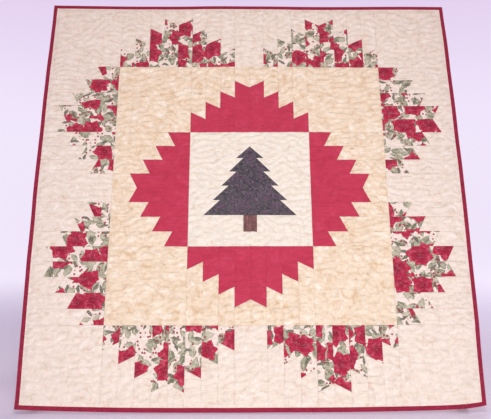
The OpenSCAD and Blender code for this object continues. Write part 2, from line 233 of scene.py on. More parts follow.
def to_world(u, v, n):
    """Points in metres. The edges bow outwards a little between the corners."""
    su, sv = u / HALF, v / HALF
    bow_v = np.where(v > 0, TOP_BOW, BOTTOM_BOW)
    # the lower right corner is drawn up a little
    lift = CORNER_LIFT * np.clip((su - 0.75) / 0.25, 0, 1) ** 4
    lift = lift * np.clip((-sv - 0.5) / 0.5, 0, 1) ** 2
    u = u + SIDE_BOW * su**3 * (1 - np.minimum(sv**2, 1))
    v = v + bow_v * sv**3 * (1 - np.minimum(np.abs(su) ** 3, 1)) + lift
    return (CENTRE + u[:, None] * RIGHT + v[:, None] * UP + n[:, None] * OUT) * MM


# ---------------------------------------------------------------- meshes
def steps(length, step, fine=(0.0, 0.8, 2.0, 3.8)):
    """Positions from 0 to 1 along a length, closer together near both ends."""
    if length < 4 * fine[-1]:
        count = max(2, int(round(length / step)))
        return np.linspace(0, 1, count + 1)
    ends = np.array(fine)
    inside = length - 2 * ends[-1]
    count = max(1, int(round(inside / step)))
    middle = np.linspace(ends[-1], length - ends[-1], count + 1)
    return np.concatenate([ends[:-1], middle, length - ends[:-1][::-1]]) / length


class Cloth:
    """Collects closed thin pieces of cloth and makes one object of them."""

    def __init__(self):
        self.points, self.faces, self.values, self.count = [], [], [], 0

    def add(self, u, v, low, high, faces, ring, print_uv, stitch, edge):
        """faces index the flat points, and ring is their boundary, counter-clockwise."""
        n = len(u)
        for height in (high, low):
            self.points.append(to_world(u, v, height))
            self.values.append(np.stack([print_uv[0], print_uv[1], stitch, edge], 1))
        ring = np.asarray(ring)
        after = np.roll(ring, -1)
        start = self.count
        self.faces += [[start + i for i in f] for f in faces]
        self.faces += [[start + n + i for i in reversed(f)] for f in faces]
        self.faces += [
            [start + int(a), start + int(n + a), start + int(n + b), start + int(b)]
            for a, b in zip(ring, after)
        ]
        self.count += 2 * n

    def make(self, name):
        mesh = bpy.data.meshes.new(name)
        mesh.from_pydata(np.concatenate(self.points).tolist(), [], self.faces)
        values = np.concatenate(self.values).astype(np.float32)
        cloth = mesh.attributes.new("cloth", "FLOAT_VECTOR", "POINT")
        flat = np.zeros((len(values), 3), np.float32)
        flat[:, :2] = values[:, :2]
        cloth.data.foreach_set("vector", flat.ravel())
        for i, what in ((2, "stitch"), (3, "edge")):
            made = mesh.attributes.new(what, "FLOAT", "POINT")
            made.data.foreach_set("value", np.ascontiguousarray(values[:, i]))
        mesh.shade_smooth()
        mesh.update()
        piece = bpy.data.objects.new(name, mesh)
        bpy.context.scene.collection.objects.link(piece)
        return piece


def grid_faces(rows, columns):
    """Faces and boundary of a grid whose points run along the columns first."""
    index = np.arange(rows * columns).reshape(rows, columns)
    faces = np.stack(
        [index[:-1, :-1], index[:-1, 1:], index[1:, 1:], index[1:, :-1]], -1
    ).reshape(-1, 4)
    ring = np.concatenate(
        [index[0, :-1], index[:-1, -1], index[-1, :0:-1], index[:0:-1, 0]]
    )
    return faces.tolist(), ring


def turned(x, y, side):
    """Turns a point drawn above the quilt's centre to one of its sides."""
    for _ in range(side):
        x, y = y, -x
    return x, y


def print_place(draw, u, v, straight=False):
    """Moves the cloth's print to a random place, so that it doesn't run on from patch to patch."""
    du, dv = draw.uniform(-900, 900, 2)
    quarter = 0 if straight else int(draw.randint(4))
    pu, pv = turned(u, v, quarter)
    return pu + du, pv + dv


# size of the faces of each kind of piece
GRID, TREE_GRID, BATTING_GRID, BACKING_GRID = 2.9, 2.5, 8.0, 5.0


def add_patch(cloth, corners, side, puff, draw, straight=False):
    """A four-cornered patch. corners are lower left, lower right, upper right and upper left."""
    (ax, ay), (bx, by), (cx, cy), (dx, dy) = corners
    s = steps(bx - ax, GRID)
    t = steps(max(dy - ay, cy - by), GRID)
    ss, tt = np.meshgrid(s, t)
    x = ax + (bx - ax) * ss
    low = ay + (by - ay) * ss
    high = dy + (cy - dy) * ss
    y = low + (high - low) * tt
    x, y = x.ravel(), y.ravel()
    edge = distance_to_outline(x, y, corners)
    u, v = turned(x, y, side)
    faces, ring = grid_faces(len(t), len(s))
    bottom = loft(u, v, edge, puff)
    place = print_place(draw, u, v, straight)
    cloth.add(u, v, bottom, bottom + PATCH, faces, ring, place, stitch_distance(u, v), edge)


def saw(i):
    """Heights of the saw edge at the left and right sides of strip i of 8."""
    peak = STRIP * (1.5 + 0.8 * min(i, 7 - i))
    low = peak - 0.5 * STRIP
    return (peak, low) if i < 4 else (low, peak)


def inner_strips(cloth, x0, base, side, puff, draw):
    for i in range(8):
        a, b = x0 + STRIP * i + SEAM / 2, x0 + STRIP * (i + 1) - SEAM / 2
        left, right = saw(i)
        corners = [(a, base), (b, base), (b, base + right), (a, base + left)]
        add_patch(cloth, corners, side, puff, draw)


def outer_strips(cloth, x0, base, depth, side, puff, draw):
    for i in range(8):
        a, b = x0 + STRIP * i + SEAM / 2, x0 + STRIP * (i + 1) - SEAM / 2
        left, right = saw(i)
        corners = [(a, base + left), (b, base + right), (b, base + depth), (a, base + depth)]
        add_patch(cloth, corners, side, puff, draw)


def cut_grid(outline, step):
    """A flat outline filled with a grid of small faces: its points, faces and boundary."""
    bm = bmesh.new()
    bm.faces.new([bm.verts.new((x, y, 0)) for x, y in outline])
    points = np.array(outline, float)
    for axis in (0, 1):
        low, high = points[:, axis].min(), points[:, axis].max()
        normal = (1, 0, 0) if axis == 0 else (0, 1, 0)
        for at in np.arange(low + step, high - step / 2, step):
            place = (at, 0, 0) if axis == 0 else (0, at, 0)
            everything = bm.verts[:] + bm.edges[:] + bm.faces[:]
            bmesh.ops.bisect_plane(bm, geom=everything, plane_co=place, plane_no=normal, dist=0.02)
    bm.normal_update()
    for f in bm.faces:
        if f.normal.z < 0:
            f.normal_flip()
    bm.verts.index_update()
    flat = np.array([v.co[:2] for v in bm.verts])
    faces = [[v.index for v in f.verts] for f in bm.faces]
    following = {}
    for f in bm.faces:
        for loop in f.loops:
            if loop.edge.is_boundary:
                following[loop.vert.index] = loop.link_loop_next.vert.index
    first = next(iter(following))
    ring, at = [first], following[first]
    while at != first:
        ring.append(at)
        at = following[at]
    bm.free()
    return flat[:, 0], flat[:, 1], faces, ring


# ---------------------------------------------------------------- shader helpers
def rgb(r, g, b):
    """A colour given as it looks on screen, from 0 to 255, as the linear one that shaders use."""
    linear = [((c / 255 + 0.055) / 1.055) ** 2.4 if c > 10 else c / 3294 for c in (r, g, b)]
    return (*linear, 1.0)


class Shader:
    """A material and short ways to add its nodes. Values are numbers, colours or sockets."""

    def __init__(self, name, **constants):
        self.material = bpy.data.materials.new(name)
        self.material.use_nodes = True
        self.tree = self.material.node_tree
        self.bsdf = self.tree.nodes["Principled BSDF"]
        for socket, value in constants.items():
            self.bsdf.inputs[socket.replace("_", " ")].default_value = value

    def put(self, socket, value):
        if isinstance(value, bpy.types.NodeSocket):
            self.tree.links.new(value, socket)
        elif hasattr(socket.default_value, "__len__") and not hasattr(value, "__len__"):
            socket.default_value = [value] * len(socket.default_value)
        else:
            socket.default_value = value

    def node(self, kind, inputs=None, **settings):
        made = self.tree.nodes.new(kind)
        for k, value in settings.items():
            setattr(made, k, value)
        for k, value in (inputs or {}).items():
            self.put(made.inputs[k], value)
        return made

    def do(self, operation, a, b=0.0, c=0.0):
        inputs = {0: a, 1: b} if c == 0.0 else {0: a, 1: b, 2: c}
        return self.node("ShaderNodeMath", inputs, operation=operation).outputs[0]

    def limit(self, x, low, high, to_low=0.0, to_high=1.0, smooth=True):
        kind = "SMOOTHSTEP" if smooth else "LINEAR"
        made = self.node("ShaderNodeMapRange", interpolation_type=kind)
        for k, value in enumerate((x, low, high, to_low, to_high)):
            self.put(made.inputs[k], value)
        return made.outputs[0]

    def mix(self, share, a, b, how="MIX"):
        made = self.node("ShaderNodeMix", data_type="RGBA", blend_type=how)
        self.put(made.inputs[0], share)
        self.put(made.inputs[6], a)
        self.put(made.inputs[7], b)
        return made.outputs[2]

    def shade(self, colour, tone):
        """The colour multiplied by one number."""
        return self.mix(1.0, colour, self.joined(tone, tone, tone), "MULTIPLY")

    def attribute(self, name, output="Vector"):
        return self.node("ShaderNodeAttribute", attribute_name=name).outputs[output]

    def vector(self, operation, a, b=(0, 0, 0), output=0):
        return self.node("ShaderNodeVectorMath", {0: a, 1: b}, operation=operation).outputs[output]

    def scaled(self, vector, factors):
        return self.vector("MULTIPLY", vector, factors)

    def noise(self, vector, size, detail=2.0, rough=0.5, distort=0.0, colour=False):
        inputs = {
            "Vector": vector, "Scale": 1 / size, "Detail": detail,
            "Roughness": rough, "Distortion": distort,
        }
        made = self.node("ShaderNodeTexNoise", inputs)
        return made.outputs["Color" if colour else "Fac"]

    def voronoi(self, vector, size, feature="F1", randomness=1.0):
        return self.node(
            "ShaderNodeTexVoronoi",
            {"Vector": vector, "Scale": 1 / size, "Randomness": randomness},
            feature=feature,
            voronoi_dimensions="2D",
        ).outputs

    def split(self, vector):
        return self.node("ShaderNodeSeparateXYZ", {0: vector}).outputs

    def joined(self, x, y, z=0.0):
        return self.node("ShaderNodeCombineXYZ", {0: x, 1: y, 2: z}).outputs[0]

    def bump(self, height, distance, before=None):
        inputs = {"Height": height, "Distance": distance * MM, "Strength": 1.0}
        if before is not None:
            inputs["Normal"] = before
        return self.node("ShaderNodeBump", inputs).outputs[0]

    def finish(self, colour, roughness, normal=None):
        self.put(self.bsdf.inputs["Base Color"], colour)
        self.put(self.bsdf.inputs["Roughness"], roughness)
        if normal is not None:
            self.put(self.bsdf.inputs["Normal"], normal)
        return self.material


def weave(sh, cloth, size=0.42):
    """Height of a plain weave whose threads are size mm apart."""
    at = sh.split(cloth)
    wave = math.pi / size
    warp = sh.do("SINE", sh.do("MULTIPLY", at[0], wave))
    weft = sh.do("SINE", sh.do("MULTIPLY", at[1], wave))
    over = sh.do("MULTIPLY", warp, weft)
    slub = sh.noise(sh.scaled(cloth, (1, 0.15, 1)), 1.2)
    return sh.do("ADD", sh.do("ABSOLUTE", over), slub)


# length of one quilting stitch and the gap after it
STITCH = 2.6


def cotton(name, paint, rough=0.82, stitched=None, stitch_colour=None, creased=3.5):
    """Printed quilting cotton. paint(sh, cloth) gives the colour of the print."""
    sh = Shader(name, Sheen_Weight=0.12, Sheen_Roughness=0.45, Specular_IOR_Level=0.3)
    cloth = sh.attribute("cloth")
    colour = paint(sh, cloth)
    thread = weave(sh, cloth)
    # the weave shows as a faint change of tone from thread to thread
    tone = sh.limit(thread, 0.1, 1.6, 0.94, 1.03, smooth=False)
    colour = sh.shade(colour, tone)
    # painted shade: the colour darkens within 1.6 mm of a seam, where the cloth turned under it
    # lies in shadow
    edge = sh.attribute("edge", "Fac")
    fold = sh.limit(edge, 0.0, 1.6, 0.965, 1.0)
    colour = sh.shade(colour, fold)
    normal = sh.bump(thread, 0.06)
    if stitched:
        apart = sh.do("ABSOLUTE", sh.attribute("stitch", "Fac"))
        line = sh.limit(apart, 0.2, 0.55, 1.0, 0.0)
        at = sh.split(cloth)
        way = sh.do("ADD", at[0], at[1])
        run = sh.do("SINE", sh.do("MULTIPLY", way, 2 * math.pi / STITCH))
        held = sh.do("MULTIPLY", line, sh.limit(run, -0.5, 0.1))
        colour = sh.mix(sh.do("MULTIPLY", held, stitched), colour, stitch_colour)
        groove = sh.limit(apart, 0.0, 1.4)
        normal = sh.bump(sh.do("SUBTRACT", groove, sh.do("MULTIPLY", held, 0.5)), 0.18, normal)
    # creases left by washing run across the hanging quilt
    place = sh.scaled(sh.node("ShaderNodeTexCoord").outputs["Object"], (280, 1000, 1000))
    crease = sh.noise(place, 7.5, 3.0, 0.6)
    normal = sh.bump(crease, creased, normal)
    # painted shade and light: the colour is a little darker in the creases' hollows and a little
    # lighter on their crests
    painted_crease_shade = sh.limit(crease, 0.35, 0.65, 0.955, 1.03)
    colour = sh.shade(colour, painted_crease_shade)
    return sh.finish(colour, rough, normal)


def mottled(base, light, dark, size, contrast=1.0, stretch=(1.0, 1.0, 1.0), veins=0.0):
    """A cloudy tone-on-tone print between three colours."""

    def paint(sh, cloth):
        moved = sh.scaled(cloth, stretch)
        cloud = sh.noise(moved, size, 5.0, 0.62, 0.6)
        blot = sh.noise(moved, size * 0.33, 4.0, 0.6, 0.8)
        both = sh.do("ADD", sh.do("MULTIPLY", cloud, 0.6), sh.do("MULTIPLY", blot, 0.4))
        up = sh.limit(both, 0.5, 0.5 + 0.17 / contrast, 0.0, 1.0)
        down = sh.limit(both, 0.5, 0.5 - 0.17 / contrast, 0.0, 1.0)
        colour = sh.mix(up, sh.mix(down, base, dark), light)
        if veins:
            crack = sh.voronoi(moved, size * 1.3, "DISTANCE_TO_EDGE")["Distance"]
            line = sh.limit(crack, 0.0, 0.12, veins, 0.0)
            colour = sh.mix(line, colour, dark)
        return colour

    return paint


def petals(sh, local, turn, radius, count, width):
    """(inside, along, across, room) for pointed petals round a centre, as shares of the radius."""
    at = sh.split(local)
    distance = sh.vector("LENGTH", local, output="Value")
    angle = sh.do("ADD", sh.do("ARCTAN2", at[1], at[0]), turn)
    sector = 2 * math.pi / count
    folded = sh.do("SUBTRACT", sh.do("FLOORED_MODULO", angle, sector), sector / 2)
    along = sh.do("DIVIDE", sh.do("MULTIPLY", distance, sh.do("COSINE", folded)), radius)
    aside = sh.do("ABSOLUTE", sh.do("MULTIPLY", distance, sh.do("SINE", folded)))
    across = sh.do("DIVIDE", aside, radius)
    inner = sh.limit(along, 0.0, 1.0, 0.0, 1.0, smooth=False)
    swell = sh.do("SINE", sh.do("MULTIPLY", sh.do("POWER", inner, 0.75), math.pi))
    room = sh.do("SUBTRACT", sh.do("MULTIPLY", swell, width), across)
    return sh.limit(room, -0.01, 0.015), along, across, room


def leaf(sh, local, turn, length, width):
    """(inside, along, across, room) for one pointed leaf. across and room are in millimetres."""
    at = sh.split(local)
    cos, sin = sh.do("COSINE", turn), sh.do("SINE", turn)
    x = sh.do("ADD", sh.do("MULTIPLY", at[0], cos), sh.do("MULTIPLY", at[1], sin))
    y = sh.do("SUBTRACT", sh.do("MULTIPLY", at[1], cos), sh.do("MULTIPLY", at[0], sin))
    along = sh.limit(x, -length / 2, length / 2, 0.0, 1.0, smooth=False)
    swell = sh.do("SINE", sh.do("MULTIPLY", along, math.pi))
    across = sh.do("ABSOLUTE", y)
    room = sh.do("SUBTRACT", sh.do("MULTIPLY", swell, width / 2), across)
    return sh.limit(room, -0.2, 0.3), along, across, room


def floral(sh, cloth):
    """Big red winter flowers, grey-green leaves and berries on cream."""
    wobble = sh.noise(cloth, 14.0, 2.0, 0.5, colour=True)
    pushed = sh.vector("SUBTRACT", wobble, (0.5, 0.5, 0.5))
    bent = sh.vector("ADD", cloth, sh.scaled(pushed, (9, 9, 0)))
    speck = sh.noise(cloth, 5.0, 3.0, 0.6)
    patchy = sh.noise(cloth, 11.0, 3.0, 0.6)
    colour = sh.mix(sh.limit(speck, 0.45, 0.65), CREAM_PRINT, CREAM_SHADE)
    # (spacing, length and width of the leaves, shift of the pattern, how dark)
    leaves = (
        (23.0, 27.0, 13.0, 0.0, 0.0),
        (30.0, 36.0, 18.0, 411.0, 0.0),
        (27.0, 24.0, 7.0, 823.0, 0.7),
    )
    for size, length, width, shift, dark in leaves:
        cell = sh.voronoi(sh.vector("ADD", bent, (shift, shift, 0)), size, randomness=0.8)
        local = sh.vector("SUBTRACT", sh.vector("ADD", bent, (shift, shift, 0)), cell["Position"])
        pick = sh.split(cell["Color"])
        turn = sh.do("MULTIPLY", pick[0], 2 * math.pi)
        inside, along, across, room = leaf(sh, local, turn, length, width)
        green = sh.mix(pick[1], LEAF_DARK, LEAF_LIGHT)
        green = sh.mix(sh.limit(along, 0.1, 0.9, 0.0, 0.5), green, LEAF_DARK)
        vein = sh.limit(across, 0.3, 1.0, 0.7, 0.0)
        green = sh.mix(vein, green, LEAF_VEIN)
        rimmed = sh.limit(room, 0.3, 2.0, 0.9, 0.0)
        green = sh.mix(rimmed, green, LEAF_EDGE)
        green = sh.mix(sh.limit(patchy, 0.42, 0.66, 0.0, 0.8), green, LEAF_LIGHT)
        green = sh.mix(dark, green, LEAF_EDGE)
        chosen = sh.do("GREATER_THAN", pick[2], 0.3)
        colour = sh.mix(sh.do("MULTIPLY", inside, chosen), colour, green)
    berries = sh.voronoi(cloth, 9.0, randomness=0.9)
    berry_pick = sh.split(berries["Color"])
    berry = sh.limit(berries["Distance"], 0.24, 0.30, 1.0, 0.0)
    shine = sh.limit(berries["Distance"], 0.0, 0.16, 1.0, 0.0)
    near = sh.noise(cloth, 40.0, 1.0)
    picked = sh.do("GREATER_THAN", berry_pick[0], 0.55)
    some = sh.do("MULTIPLY", picked, sh.limit(near, 0.48, 0.54))
    colour = sh.mix(sh.do("MULTIPLY", berry, some), colour, sh.mix(shine, BERRY, BLOOM_LIGHT))
    cell = sh.voronoi(bent, 60.0, randomness=0.6)
    local = sh.vector("SUBTRACT", bent, cell["Position"])
    pick = sh.split(cell["Color"])
    turn = sh.do("MULTIPLY", pick[0], 2 * math.pi)
    grow = sh.limit(pick[1], 0.0, 1.0, 0.7, 1.0, smooth=False)
    whole = sh.do("MULTIPLY", grow, 37.0)
    bloom = sh.do("GREATER_THAN", pick[2], 0.27)
    # (radius, petals, width, turn and darkness of each ring of petals)
    rings = (
        (whole, 6, 0.42, 0.0, 0.0),
        (sh.do("MULTIPLY", whole, 0.74), 5, 0.46, 0.6, 0.25),
        (sh.do("MULTIPLY", whole, 0.42), 5, 0.40, 1.3, 0.5),
    )
    for radius, count, width, spin, deep in rings:
        spun = sh.do("ADD", turn, spin)
        inside, along, across, room = petals(sh, local, spun, radius, count, width)
        red = sh.mix(sh.limit(along, 0.05, 0.95, 0.0, 1.0), BLOOM_DARK, BLOOM)
        red = sh.mix(sh.limit(patchy, 0.46, 0.66, 0.0, 0.75), red, BLOOM_LIGHT)
        vein = sh.limit(across, 0.0, 0.035, 0.65, 0.0)
        red = sh.mix(vein, red, BLOOM_DARK)
        red = sh.mix(sh.limit(room, 0.0, 0.07, 0.85, 0.0), red, BLOOM_EDGE)
        red = sh.mix(deep, red, BLOOM_DARK)
        colour = sh.mix(sh.do("MULTIPLY", inside, bloom), colour, red)
    heart = sh.vector("LENGTH", local, output="Value")
    dots = sh.voronoi(cloth, 2.4)["Distance"]
    middle = sh.limit(heart, 1.8, 2.6, 0.5, 0.0)
    dot = sh.do("MULTIPLY", middle, sh.limit(dots, 0.2, 0.45, 1.0, 0.2))
    return sh.mix(sh.do("MULTIPLY", dot, bloom), colour, HEART)


def marbled(sh, cloth):
    """Dark grey-green print of the tree, with purple and pale clouds."""
    cloud = sh.noise(cloth, 16.0, 6.0, 0.65, 1.6)
    fleck = sh.noise(cloth, 5.0, 5.0, 0.7, 1.0)
    colour = sh.mix(sh.limit(cloud, 0.38, 0.62), TREE_DARK, TREE_GREEN)
    purple = sh.noise(sh.vector("ADD", cloth, (77, 31, 0)), 22.0, 4.0, 0.6, 1.2)
    colour = sh.mix(sh.limit(purple, 0.46, 0.62, 0.0, 0.75), colour, TREE_PURPLE)
    return sh.mix(sh.limit(fleck, 0.5, 0.66, 0.0, 0.75), colour, TREE_PALE)


# ---------------------------------------------------------------- colours
CREAM = rgb(239, 228, 208)
CREAM_LIGHT = rgb(246, 238, 222)
CREAM_DARK = rgb(230, 208, 184)
BORDER = rgb(239, 223, 204)
BORDER_LIGHT = rgb(247, 237, 221)
BORDER_DARK = rgb(226, 202, 178)
TAN = rgb(241, 220, 190)
TAN_LIGHT = rgb(253, 241, 219)
TAN_DARK = rgb(226, 193, 151)
RED = rgb(194, 54, 80)
RED_LIGHT = rgb(203, 66, 92)
RED_DARK = rgb(184, 44, 70)
CREAM_PRINT = rgb(243, 228, 212)
CREAM_SHADE = rgb(232, 210, 188)
LEAF_DARK = rgb(120, 122, 94)
LEAF_LIGHT = rgb(206, 198, 170)
LEAF_VEIN = rgb(214, 206, 180)
LEAF_EDGE = rgb(84, 82, 66)
BERRY = rgb(146, 28, 50)
BLOOM = rgb(198, 38, 70)
BLOOM_LIGHT = rgb(220, 98, 118)
BLOOM_DARK = rgb(136, 20, 48)
BLOOM_EDGE = rgb(104, 18, 42)
HEART = rgb(184, 132, 84)
TREE_DARK = rgb(56, 48, 56)
TREE_GREEN = rgb(84, 80, 80)
TREE_PURPLE = rgb(99, 74, 92)
TREE_PALE = rgb(138, 123, 128)
TRUNK = rgb(124, 84, 80)
TRUNK_LIGHT = rgb(154, 112, 106)
TRUNK_DARK = rgb(90, 56, 54)
BINDING = rgb(152, 28, 58)
BINDING_LIGHT = rgb(176, 44, 74)
BINDING_DARK = rgb(120, 18, 42)
MUSLIN = rgb(232, 221, 200)
MUSLIN_LIGHT = rgb(240, 231, 213)
MUSLIN_DARK = rgb(216, 202, 176)
THREAD = rgb(250, 240, 228)

STITCHED = {"stitched": 0.25, "stitch_colour": THREAD}
fabric = {
    "cream": cotton("cream_cotton", mottled(CREAM, CREAM_LIGHT, CREAM_DARK, 14.0), **STITCHED),
    "border": cotton("border_cotton", mottled(BORDER, BORDER_LIGHT, BORDER_DARK, 20.0), **STITCHED),
    "tan": cotton(
        "tan_cotton", mottled(TAN, TAN_LIGHT, TAN_DARK, 24.0, 1.1, (0.8, 1, 1), veins=0.12),
        creased=5.0, **STITCHED,
    ),
    "red": cotton(
        "red_cotton", mottled(RED, RED_LIGHT, RED_DARK, 40.0), stitched=0.2, stitch_colour=RED_DARK
    ),
    "floral": cotton("floral_cotton", floral, stitched=0.15, stitch_colour=THREAD),
    "tree": cotton("tree_cotton", marbled),
    "trunk": cotton("trunk_cotton", mottled(TRUNK, TRUNK_LIGHT, TRUNK_DARK, 6.0, 1.3, (1, 0.2, 1))),
    "binding": cotton("binding_cotton", mottled(BINDING, BINDING_LIGHT, BINDING_DARK, 9.0)),
    "muslin": cotton("muslin_cotton", mottled(MUSLIN, MUSLIN_LIGHT, MUSLIN_DARK, 30.0), **STITCHED),
    "batting": cotton("batting_wool", mottled(MUSLIN_LIGHT, THREAD, MUSLIN, 6.0), rough=0.95),
}


# ---------------------------------------------------------------- the quilt's pieces
# height of the pillows between the quilting lines
PUFF = {"cream": 2.8, "border": 2.5, "tan": 3.2, "red": 0.8, "floral": 1.4}


def add_to_quilt(piece, material, node):
    piece.data.materials.append(fabric[material])
    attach(piece, "quilt")
    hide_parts(node)
    return piece


def square(x, y, w, h):
    return [(x, y), (x + w, y), (x + w, y + h), (x, y + h)]


centre = Cloth()
add_patch(centre, square(-BLOCK, -BLOCK, 2 * BLOCK, 2 * BLOCK), 0, PUFF["cream"],
          np.random.RandomState(1), straight=True)
add_to_quilt(centre.make("centre_cloth"), "cream", "centre_ground")

DEPTH = CLOTH - FIELD
for side in range(4):
    draw = np.random.RandomState(20 + side)
    where = SIDES[side]
    cloth = Cloth()
    inner_strips(cloth, -BLOCK, BLOCK, side, PUFF["red"], draw)
    add_to_quilt(cloth.make(f"red_cloth_{where}"), "red", f"red_strips_{where}")
    cloth = Cloth()
    outer_strips(cloth, -BLOCK, BLOCK, 5 * STRIP, side, PUFF["tan"], draw)
    add_to_quilt(cloth.make(f"field_cloth_{where}"), "tan", f"field_strips_{where}")
    cloth = Cloth()
    add_patch(cloth, square(BLOCK, BLOCK, 5 * STRIP, 5 * STRIP), side, PUFF["tan"], draw)
    node = f"field_corner_{CORNERS[side]}"
    add_to_quilt(cloth.make(f"field_cloth_{CORNERS[side]}"), "tan", node)
    for order, x in (("first", -FIELD), ("second", MID_PATCH)):
        cloth = Cloth()
        inner_strips(cloth, x, FIELD, side, PUFF["floral"], draw)
        node = f"floral_fan_{order}_{where}"
        add_to_quilt(cloth.make(f"floral_cloth_{order}_{where}"), "floral", node)
    cloth = Cloth()
    for x in (-FIELD, MID_PATCH):
        outer_strips(cloth, x, FIELD, DEPTH, side, PUFF["border"], draw)
    middle = square(SEAM / 2 - MID_PATCH, FIELD, 2 * MID_PATCH - SEAM, DEPTH)
    add_patch(cloth, middle, side, PUFF["border"], draw)
    node = f"border_strips_{where}"
    add_to_quilt(cloth.make(f"border_cloth_{where}"), "border", node)
    cloth = Cloth()
    add_patch(cloth, square(FIELD, FIELD, DEPTH, DEPTH), side, PUFF["border"], draw)
    node = f"border_corner_{CORNERS[side]}"
    add_to_quilt(cloth.make(f"border_cloth_{CORNERS[side]}"), "border", node)

# the tree and its trunk lie on the centre patch, with their raw edges turned under
FOOT = TRUNK_FOOT * STRIP
trunk_outline = square(-TRUNK_HALF * STRIP, FOOT, 2 * TRUNK_HALF * STRIP, TIERS[-1] * STRIP - FOOT)


def applique(outline, name, material, node):
    u, v, faces, ring = cut_grid(outline, TREE_GRID)
    edge = distance_to_outline(u, v, outline)
    block = distance_to_outline(u, v, square(-BLOCK, -BLOCK, 2 * BLOCK, 2 * BLOCK))
    under = face(u, v, block, PUFF["cream"])
    crown = 0.55 * (1 - np.exp(-edge / 1.2)) + 0.25
    cloth = Cloth()
    cloth.add(u, v, under + 0.02, under + crown, faces, ring, (u, v), np.full(len(u), FAR), edge)
    add_to_quilt(cloth.make(name), material, node)


applique(TREE_OUTLINE, "tree_cloth", "tree", "tree")
applique(trunk_outline, "trunk_cloth", "trunk", "trunk")


# ---------------------------------------------------------------- binding, batting and back
def tube_faces(rings, around):
    """Quads of a closed section carried along rings of points, with both ends closed."""
    index = np.arange(rings * around).reshape(rings, around)
    after = np.roll(index, -1, 1)
    sides = np.stack([index[:-1], index[1:], after[1:], after[:-1]], -1).reshape(-1, 4).tolist()
    return sides, index[0].tolist(), index[-1].tolist()[::-1]


def make_solid(name, u, v, n, faces, values):
    """An object from points of the quilt, with the attributes that the cloth shaders read."""
    cloth = Cloth()
    cloth.points.append(to_world(u, v, n))
    cloth.values.append(np.stack(values, 1))
    cloth.faces = faces
    return cloth.make(name)


# how far in from the edge the binding's fold rounds over, and its steps along each side
BINDING_FOLD, BINDING_STEPS = 2.2, 421


def binding(side):
    """A folded strip round one raw edge: front leg, rounded fold, back leg, mitred at the ends."""
    # (distance in from the edge, share of the way from the back to the front, height added)
    turn = np.radians(np.linspace(90, -90, 9))
    fold, hem = BINDING_FOLD, BINDING_W - 0.6
    outer = [(BINDING_W, 1.0, 0.25), (hem, 1.0, 0.75), (7.4, 1.0, 1.15), (5.0, 1.0, 1.25)]
    outer += [(fold - fold * math.cos(a), 0.5 + 0.5 * math.sin(a), math.sin(a)) for a in turn]
    outer += [(5.0, 0.0, -0.9), (7.4, 0.0, -0.85), (hem, 0.0, -0.7), (BINDING_W, 0.0, -0.3)]
    inner = [(BINDING_W, 0.0, 0.05), (fold + 1, 0.0, 0.02), (fold - 1, 0.35, 0.0)]
    inner += [(fold - 1, 0.65, 0.0), (fold + 1, 1.0, 0.03), (BINDING_W, 1.0, 0.05)]
    section = np.array(outer + inner)
    along = np.linspace(-1, 1, BINDING_STEPS)
    inset, share, lift = (np.tile(section[:, k], len(along)) for k in range(3))
    t = np.repeat(along, len(section))
    x = t * (HALF - inset)
    y = HALF - inset
    u, v = turned(x, y, side)
    # heights are taken where the cloth really is, just inside the edge
    back = lie(u, v) - 0.02
    front = face(u, v, np.full(len(u), FAR), 0.0)
    pull = 0.06 * np.sin(x / 5.3 + 2 * np.sin(x / 41)) * (share > 0.9)
    n = back + (front - back) * share + lift + pull
    sides, first, last = tube_faces(len(along), len(section))
    faces = sides + [first, last]
    values = [x + 900 * side, y + lift, np.full(len(u), FAR), np.full(len(u), FAR)]
    piece = make_solid(f"binding_cloth_{SIDES[side]}", u, v, n, faces, values)
    add_to_quilt(piece, "binding", f"binding_{SIDES[side]}")


for side in range(4):
    binding(side)


def full_sheet(name, half, grid, low, high, material, node):
    """A sheet as large as the quilt, between two heights."""
    across = np.linspace(-half, half, int(2 * half / grid) + 1)
    uu, vv = np.meshgrid(across, across)
    u, v = uu.ravel(), vv.ravel()
    faces, ring = grid_faces(len(across), len(across))
    cloth = Cloth()
    cloth.add(u, v, low(u, v), high(u, v), faces, ring, (u, v), stitch_distance(u, v),
              HALF - np.maximum(np.abs(u), np.abs(v)))
    return add_to_quilt(cloth.make(name), material, node)


def batting_low_side(u, v):
    return lie(u, v) + BACKING + 0.05


def batting_high_side(u, v):
    return lie(u, v) + BACKING + 2.1 + 0.85 * rim(u, v)


def back_low_side(u, v):
    """The backing shows the quilting too, but more flatly than the front."""
    return lie(u, v) - 0.5 * pillow(u, v) * rim(u, v)


def back_high_side(u, v):
    return lie(u, v) + BACKING


full_sheet(
    "batting_sheet", CLOTH - 1, BATTING_GRID, batting_low_side, batting_high_side,
    "batting", "batting",
)
backing_piece = full_sheet(
    "backing_cloth", CLOTH, BACKING_GRID, back_low_side, back_high_side,
    "muslin", "backing",
)


# ---------------------------------------------------------------- sleeve on the back
SLEEVE_R, SLEEVE_T, SLEEVE_HALF, SLEEVE_STEPS = 11.5, 0.8, 470.0, 261
SLEEVE_SEAMS = (HALF - 13.0, HALF - 88.0)


def sleeve_section(radius, inset):
    """The sleeve's curve as (share of the way from seam to rod, v, n): round the rod's back."""
    reach = ROD_N - REST
    ends, turns = [], []
    for seam, hand in zip(SLEEVE_SEAMS, (1, -1)):
        up = seam - hand * inset - ROD_V
        ends.append((up + ROD_V, 0.0))
        turns.append(math.atan2(up, reach) - hand * math.acos(radius / math.hypot(up, reach)))
    turns[1] += 0.0 if turns[1] < turns[0] else -2 * math.pi
    arc = [
        (1.0, ROD_V + radius * math.sin(a), ROD_N - radius * math.cos(a))
        for a in np.linspace(turns[0], turns[1], 22)
    ]
    curve = []
    for share in np.linspace(0, 1, 6)[:-1]:
        v = ends[0][0] + (arc[0][1] - ends[0][0]) * share
        curve.append((share, v, REST + (arc[0][2] - REST) * share))
    curve += arc
    for share in np.linspace(1, 0, 14)[1:]:
        v = ends[1][0] + (arc[-1][1] - ends[1][0]) * share
        curve.append((share, v, REST + (arc[-1][2] - REST) * share))
    return curve


